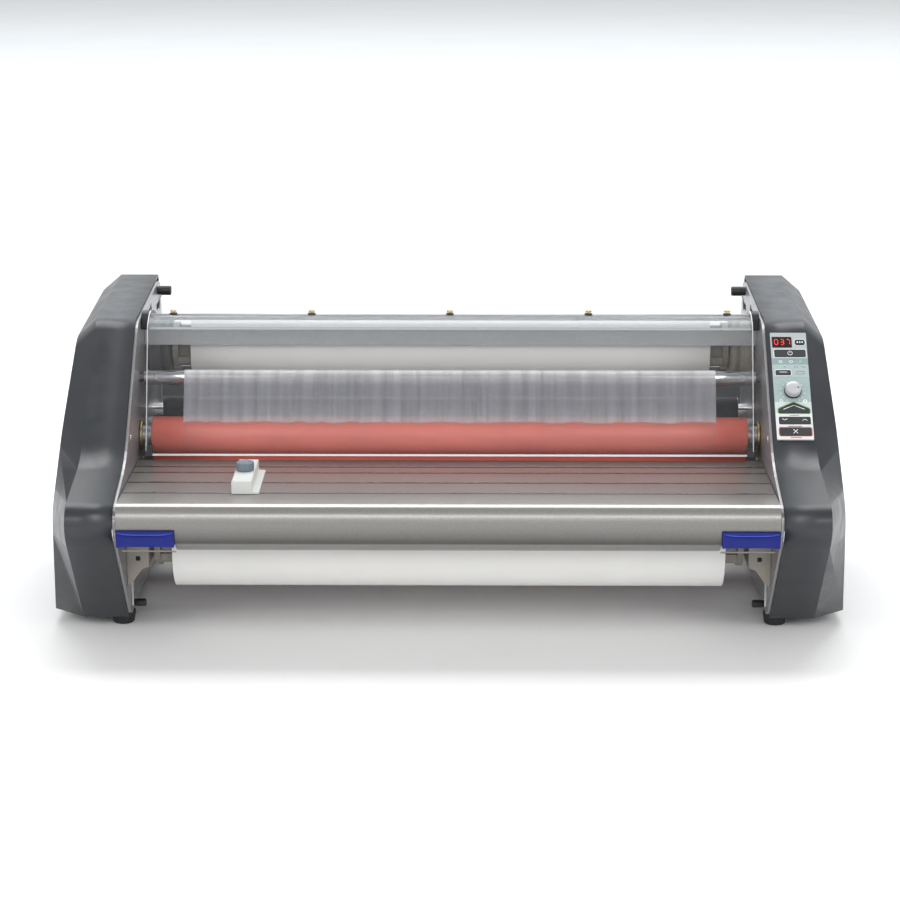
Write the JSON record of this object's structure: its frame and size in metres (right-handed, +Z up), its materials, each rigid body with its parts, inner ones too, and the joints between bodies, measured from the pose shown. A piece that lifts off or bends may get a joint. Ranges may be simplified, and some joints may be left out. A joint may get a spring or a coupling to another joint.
{
  "type": "desktop roll laminator",
  "caption": "Desktop thermal roll laminator: silicone rollers between side housings, film supplies above and below, a lift-off feed table, a clear hinged heat shield and a slanted panel.",
  "frame": {"origin": "centre of the footprint, on the surface that the feet stand on", "axes": "+X to the operator's right along the rollers, -Y towards the operator, +Z up"},
  "size_m": [0.9268, 0.5, 0.3534],
  "materials": {
    "cover": "satin moulded",
    "zinc": "zinc plated",
    "grey_steel": "satin",
    "bright": "ground and plated",
    "table_metal": "fine metallic satin",
    "blue_plastic": "moulded",
    "black_plastic": "moulded",
    "foot_rubber": "matt",
    "red_silicone": "ground silicone",
    "grey_rubber": "ground",
    "brass": "satin",
    "film": "wound film",
    "clear_sheet": "polished",
    "beige_paint": "satin",
    "guide_plastic": "moulded",
    "slate_plastic": "moulded",
    "panel_film": "printed overlay",
    "button_plastic": "moulded",
    "knob_plastic": "pearl",
    "gear_nylon": "moulded",
    "board": "circuit board"
  },
  "bodies": {
    "frame": {"side_cover_left": "cover", "side_cover_right": "cover", "side_plate_left": "zinc", "side_plate_right": "zinc", "rear_panel_upper": "grey_steel", "rear_panel_lower": "grey_steel", "upper_cross_bar": "grey_steel", "foot_front_left": "foot_rubber", "foot_front_right": "foot_rubber", "foot_rear_left": "foot_rubber", "foot_rear_right": "foot_rubber", "upper_stop_peg_left": "black_plastic", "upper_stop_peg_right": "black_plastic", "lower_stop_peg_left": "black_plastic", "lower_stop_peg_right": "black_plastic", "upper_heat_bush_left": "brass", "upper_heat_bush_right": "brass", "lower_heat_bush_left": "brass", "lower_heat_bush_right": "brass", "drive_motor": "grey_steel", "upper_supply_hub_left": "beige_paint", "upper_supply_hub_right": "beige_paint", "lower_supply_bracket_left": "beige_paint", "lower_supply_bracket_right": "beige_paint", "upper_film_web": "film", "shield_hinge_left": "black_plastic", "shield_hinge_right": "black_plastic", "control_panel": "panel_film", "control_board": "board", "power_inlet": "black_plastic"},
    "table": {"feed_table": "table_metal"},
    "latch_left_body": {"latch_left": "blue_plastic"},
    "latch_right_body": {"latch_right": "blue_plastic"},
    "guide": {"side_guide": "guide_plastic"},
    "guide_clamp": {"guide_knob": "slate_plastic"},
    "shield": {"heat_shield": "clear_sheet", "shield_rod": "bright"},
    "lower_heat_roller": {"lower_heat_shaft": "bright", "lower_heat_sleeve": "red_silicone", "lower_heat_gear": "gear_nylon"},
    "upper_heat_roller": {"upper_heat_shaft": "bright", "upper_heat_sleeve": "red_silicone", "upper_heat_gear": "gear_nylon"},
    "lower_pull": {"lower_pull_roller": "grey_rubber"},
    "upper_pull": {"upper_pull_roller": "grey_rubber"},
    "idler_gear_body": {"idler_gear": "gear_nylon"},
    "pinion": {"motor_pinion": "bright"},
    "upper_idler": {"upper_idler_roller": "bright"},
    "lower_idler": {"lower_idler_roller": "bright"},
    "upper_supply": {"upper_mandrel": "beige_paint", "upper_film_roll": "film"},
    "lower_supply": {"lower_mandrel": "beige_paint", "lower_film_roll": "film"},
    "speed_dial": {"speed_knob": "knob_plastic"},
    "standby_key": {"standby_button": "button_plastic"},
    "power_key": {"power_button": "button_plastic"},
    "mode_key": {"mode_button": "button_plastic"},
    "run_key": {"run_button": "button_plastic"},
    "direction_key": {"direction_button": "button_plastic"},
    "stop_key": {"stop_button": "button_plastic"}
  },
  "joints": [
    {"name": "table_lift_off", "type": "slide", "parent": "frame", "child": "table", "axis": [0, -1, 0], "range_m": [0, 0.3]},
    {"name": "latch_left_pull", "type": "hinge", "parent": "table", "child": "latch_left_body", "pos_m": [-0.337, -0.2365, 0.142], "axis": [1, 0, 0], "range_deg": [0, 22], "stiffness_Nm_per_rad": 0.4},
    {"name": "latch_right_pull", "type": "hinge", "parent": "table", "child": "latch_right_body", "pos_m": [0.337, -0.2365, 0.142], "axis": [1, 0, 0], "range_deg": [0, 22], "stiffness_Nm_per_rad": 0.4},
    {"name": "guide_slide", "type": "slide", "parent": "table", "child": "guide", "axis": [1, 0, 0], "range_m": [-0.11, 0.5]},
    {"name": "guide_clamp_turn", "type": "hinge", "parent": "guide", "child": "guide_clamp", "pos_m": [-0.2335, -0.1425, 0.1936], "axis": [0, 0, 1], "range_deg": [0, 270]},
    {"name": "shield_open", "type": "hinge", "parent": "frame", "child": "shield", "pos_m": [0, 0.0455, 0.336], "axis": [-1, 0, 0], "range_deg": [0, 110]},
    {"name": "lower_heat_spin", "type": "hinge", "parent": "frame", "child": "lower_heat_roller", "pos_m": [0, 0.0005, 0.1555], "axis": [1, 0, 0], "continuous": true},
    {"name": "upper_heat_spin", "type": "hinge", "parent": "frame", "child": "upper_heat_roller", "pos_m": [0, 0.0005, 0.2005], "axis": [1, 0, 0], "continuous": true},
    {"name": "lower_pull_spin", "type": "hinge", "parent": "frame", "child": "lower_pull", "pos_m": [0, 0.13847, 0.1585], "axis": [1, 0, 0], "continuous": true},
    {"name": "upper_pull_spin", "type": "hinge", "parent": "frame", "child": "upper_pull", "pos_m": [0, 0.13847, 0.1975], "axis": [1, 0, 0], "continuous": true},
    {"name": "idler_gear_spin", "type": "hinge", "parent": "frame", "child": "idler_gear_body", "pos_m": [0, 0.07098, 0.15703], "axis": [1, 0, 0], "continuous": true},
    {"name": "pinion_spin", "type": "hinge", "parent": "frame", "child": "pinion", "pos_m": [0, 0.09125, 0.10136], "axis": [1, 0, 0], "continuous": true},
    {"name": "upper_idler_spin", "type": "hinge", "parent": "frame", "child": "upper_idler", "pos_m": [0, 0.0135, 0.268], "axis": [1, 0, 0], "continuous": true},
    {"name": "lower_idler_spin", "type": "hinge", "parent": "frame", "child": "lower_idler", "pos_m": [0, -0.0315, 0.112], "axis": [1, 0, 0], "continuous": true},
    {"name": "upper_supply_spin", "type": "hinge", "parent": "frame", "child": "upper_supply", "pos_m": [0, 0.1215, 0.286], "axis": [1, 0, 0], "continuous": true},
    {"name": "lower_supply_spin", "type": "hinge", "parent": "frame", "child": "lower_supply", "pos_m": [0, -0.1115, 0.102], "axis": [1, 0, 0], "continuous": true},
    {"name": "speed_turn", "type": "hinge", "parent": "frame", "child": "speed_dial", "pos_m": [0.4006, -0.06802, 0.27075], "axis": [0, -0.702, 0.7122], "range_deg": [-150, 150]},
    {"name": "standby_press", "type": "slide", "parent": "frame", "child": "standby_key", "axis": [0, 0.702, -0.7122], "range_m": [0, 0.0008], "stiffness_N_per_m": 300},
    {"name": "power_press", "type": "slide", "parent": "frame", "child": "power_key", "axis": [0, 0.702, -0.7122], "range_m": [0, 0.0008], "stiffness_N_per_m": 300},
    {"name": "mode_press", "type": "slide", "parent": "frame", "child": "mode_key", "axis": [0, 0.702, -0.7122], "range_m": [0, 0.0008], "stiffness_N_per_m": 300},
    {"name": "run_press", "type": "slide", "parent": "frame", "child": "run_key", "axis": [0, 0.702, -0.7122], "range_m": [0, 0.0008], "stiffness_N_per_m": 300},
    {"name": "direction_press", "type": "slide", "parent": "frame", "child": "direction_key", "axis": [0, 0.702, -0.7122], "range_m": [0, 0.0008], "stiffness_N_per_m": 300},
    {"name": "stop_press", "type": "slide", "parent": "frame", "child": "stop_key", "axis": [0, 0.702, -0.7122], "range_m": [0, 0.0008], "stiffness_N_per_m": 300}
  ],
  "couplings": [
    {"joint": "upper_heat_spin", "follows": "lower_heat_spin", "ratio": -1},
    {"joint": "idler_gear_spin", "follows": "lower_heat_spin", "ratio": -0.46875},
    {"joint": "lower_pull_spin", "follows": "lower_heat_spin", "ratio": 1.1538},
    {"joint": "upper_pull_spin", "follows": "lower_heat_spin", "ratio": -1.1538},
    {"joint": "pinion_spin", "follows": "lower_heat_spin", "ratio": 2}
  ]
}
